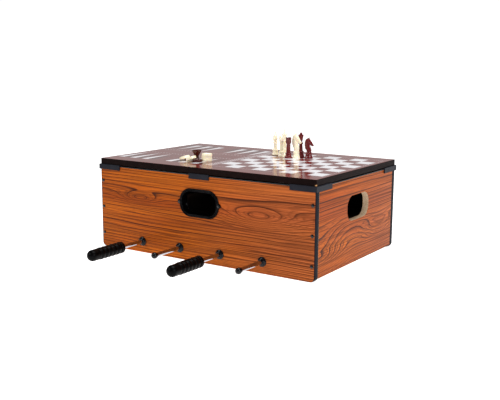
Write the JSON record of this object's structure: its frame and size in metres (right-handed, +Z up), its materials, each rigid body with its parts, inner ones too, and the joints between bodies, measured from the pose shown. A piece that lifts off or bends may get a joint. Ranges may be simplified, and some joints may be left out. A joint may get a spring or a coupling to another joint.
{
  "type": "table-top games box",
  "caption": "Table-top football box standing on its rim with a chess and backgammon board laid on top, sliding and spinning rods, and loose playing pieces.",
  "frame": {"origin": "on the ground under the middle of the case, with the rods at the bottom and the board on top", "axes": "+X along the box's long side; -Y is the front, where rods 1 and 3 have their handles; +Z up"},
  "size_m": [0.606, 0.764, 0.287],
  "materials": {
    "wood_grain_board": "satin wood-grain foil on particle board",
    "pitch_board": "hardboard, the playing side printed green",
    "printed_board": "gloss printed laminate on board, dark edge band",
    "black_plastic": "moulded, satin gloss",
    "black_grip": "moulded, fine matt grip",
    "chromed_steel": "bright chrome tube",
    "bumper_rubber": "plain",
    "ivory_plastic": "moulded, satin",
    "red_plastic": "moulded, gloss",
    "dark_plastic": "moulded, gloss"
  },
  "bodies": {
    "case": {"front_panel": "wood_grain_board", "back_panel": "wood_grain_board", "left_panel": "wood_grain_board", "right_panel": "wood_grain_board", "pitch_panel": "pitch_board", "end_strips": "black_plastic", "rim_trims": "black_plastic", "corner_clip_front_left": "black_plastic", "corner_clip_front_right": "black_plastic", "corner_clip_back_left": "black_plastic", "corner_clip_back_right": "black_plastic", "middle_clip_front": "black_plastic", "middle_clip_back": "black_plastic", "port_ring_front": "black_plastic", "port_ring_back": "black_plastic", "cap_screws": "black_plastic", "ring_screws": "black_plastic", "rod_bushings": "black_plastic", "bushing_nuts": "black_plastic"},
    "board": {"game_board": "printed_board"},
    "rod_1_carrier": {"bumpers_1": "bumper_rubber"},
    "rod_1_set": {"rod_1": "chromed_steel", "handle_1": "black_grip", "knob_1": "black_plastic", "player_1": "ivory_plastic"},
    "rod_2_carrier": {"bumpers_2": "bumper_rubber"},
    "rod_2_set": {"rod_2": "chromed_steel", "handle_2": "black_grip", "knob_2": "black_plastic", "player_2_a": "red_plastic", "player_2_b": "red_plastic", "player_2_c": "red_plastic"},
    "rod_3_carrier": {"bumpers_3": "bumper_rubber"},
    "rod_3_set": {"rod_3": "chromed_steel", "handle_3": "black_grip", "knob_3": "black_plastic", "player_3_a": "ivory_plastic", "player_3_b": "ivory_plastic", "player_3_c": "ivory_plastic"},
    "rod_4_carrier": {"bumpers_4": "bumper_rubber"},
    "rod_4_set": {"rod_4": "chromed_steel", "handle_4": "black_grip", "knob_4": "black_plastic", "player_4": "red_plastic"},
    "bishop_ivory_body": {"bishop_ivory": "ivory_plastic"},
    "king_ivory_body": {"king_ivory": "ivory_plastic"},
    "rook_ivory_body": {"rook_ivory": "ivory_plastic"},
    "rook_red_body": {"rook_red": "red_plastic"},
    "knight_ivory_body": {"knight_ivory": "ivory_plastic"},
    "queen_red_body": {"queen_red": "red_plastic"},
    "knight_red_body": {"knight_red": "red_plastic"},
    "dice_cup_body": {"dice_cup": "dark_plastic"},
    "draught_ivory_1_body": {"draught_ivory_1": "ivory_plastic"},
    "draught_ivory_2_body": {"draught_ivory_2": "ivory_plastic"},
    "draught_ivory_3_body": {"draught_ivory_3": "ivory_plastic"},
    "draught_dark_1_body": {"draught_dark_1": "dark_plastic"},
    "draught_dark_2_body": {"draught_dark_2": "dark_plastic"},
    "draught_ivory_4_body": {"draught_ivory_4": "ivory_plastic"},
    "draught_ivory_5_body": {"draught_ivory_5": "ivory_plastic"}
  },
  "joints": [
    {"name": "board_lift", "type": "slide", "parent": "case", "child": "board", "axis": [0, 0, 1], "range_m": [0, 0.15]},
    {"name": "rod_1_slide", "type": "slide", "parent": "case", "child": "rod_1_carrier", "axis": [0, 1, 0], "range_m": [-0.066, 0.066]},
    {"name": "rod_1_spin", "type": "hinge", "parent": "rod_1_carrier", "child": "rod_1_set", "pos_m": [-0.17, 0, 0.027], "axis": [0, 1, 0], "continuous": true},
    {"name": "rod_2_slide", "type": "slide", "parent": "case", "child": "rod_2_carrier", "axis": [0, 1, 0], "range_m": [-0.052, 0.052]},
    {"name": "rod_2_spin", "type": "hinge", "parent": "rod_2_carrier", "child": "rod_2_set", "pos_m": [-0.057, 0, 0.027], "axis": [0, 1, 0], "continuous": true},
    {"name": "rod_3_slide", "type": "slide", "parent": "case", "child": "rod_3_carrier", "axis": [0, 1, 0], "range_m": [-0.052, 0.052]},
    {"name": "rod_3_spin", "type": "hinge", "parent": "rod_3_carrier", "child": "rod_3_set", "pos_m": [0.057, 0, 0.027], "axis": [0, 1, 0], "continuous": true},
    {"name": "rod_4_slide", "type": "slide", "parent": "case", "child": "rod_4_carrier", "axis": [0, 1, 0], "range_m": [-0.066, 0.066]},
    {"name": "rod_4_spin", "type": "hinge", "parent": "rod_4_carrier", "child": "rod_4_set", "pos_m": [0.17, 0, 0.027], "axis": [0, 1, 0], "continuous": true},
    {"name": "bishop_ivory_lift", "type": "slide", "parent": "board", "child": "bishop_ivory_body", "axis": [0, 0, 1], "range_m": [0, 0.1]},
    {"name": "king_ivory_lift", "type": "slide", "parent": "board", "child": "king_ivory_body", "axis": [0, 0, 1], "range_m": [0, 0.1]},
    {"name": "rook_ivory_lift", "type": "slide", "parent": "board", "child": "rook_ivory_body", "axis": [0, 0, 1], "range_m": [0, 0.1]},
    {"name": "rook_red_lift", "type": "slide", "parent": "board", "child": "rook_red_body", "axis": [0, 0, 1], "range_m": [0, 0.1]},
    {"name": "knight_ivory_lift", "type": "slide", "parent": "board", "child": "knight_ivory_body", "axis": [0, 0, 1], "range_m": [0, 0.1]},
    {"name": "queen_red_lift", "type": "slide", "parent": "board", "child": "queen_red_body", "axis": [0, 0, 1], "range_m": [0, 0.1]},
    {"name": "knight_red_lift", "type": "slide", "parent": "board", "child": "knight_red_body", "axis": [0, 0, 1], "range_m": [0, 0.1]},
    {"name": "dice_cup_lift", "type": "slide", "parent": "board", "child": "dice_cup_body", "axis": [0, 0, 1], "range_m": [0, 0.1]},
    {"name": "draught_ivory_1_lift", "type": "slide", "parent": "board", "child": "draught_ivory_1_body", "axis": [0, 0, 1], "range_m": [0, 0.05]},
    {"name": "draught_ivory_2_lift", "type": "slide", "parent": "draught_ivory_1_body", "child": "draught_ivory_2_body", "axis": [0, 0, 1], "range_m": [0, 0.05]},
    {"name": "draught_ivory_3_lift", "type": "slide", "parent": "draught_ivory_2_body", "child": "draught_ivory_3_body", "axis": [0, 0, 1], "range_m": [0, 0.05]},
    {"name": "draught_dark_1_lift", "type": "slide", "parent": "board", "child": "draught_dark_1_body", "axis": [0, 0, 1], "range_m": [0, 0.05]},
    {"name": "draught_dark_2_lift", "type": "slide", "parent": "board", "child": "draught_dark_2_body", "axis": [0, 0, 1], "range_m": [0, 0.05]},
    {"name": "draught_ivory_4_lift", "type": "slide", "parent": "draught_dark_2_body", "child": "draught_ivory_4_body", "axis": [0, 0, 1], "range_m": [0, 0.05]},
    {"name": "draught_ivory_5_lift", "type": "slide", "parent": "draught_ivory_4_body", "child": "draught_ivory_5_body", "axis": [0, 0, 1], "range_m": [0, 0.05]}
  ]
}
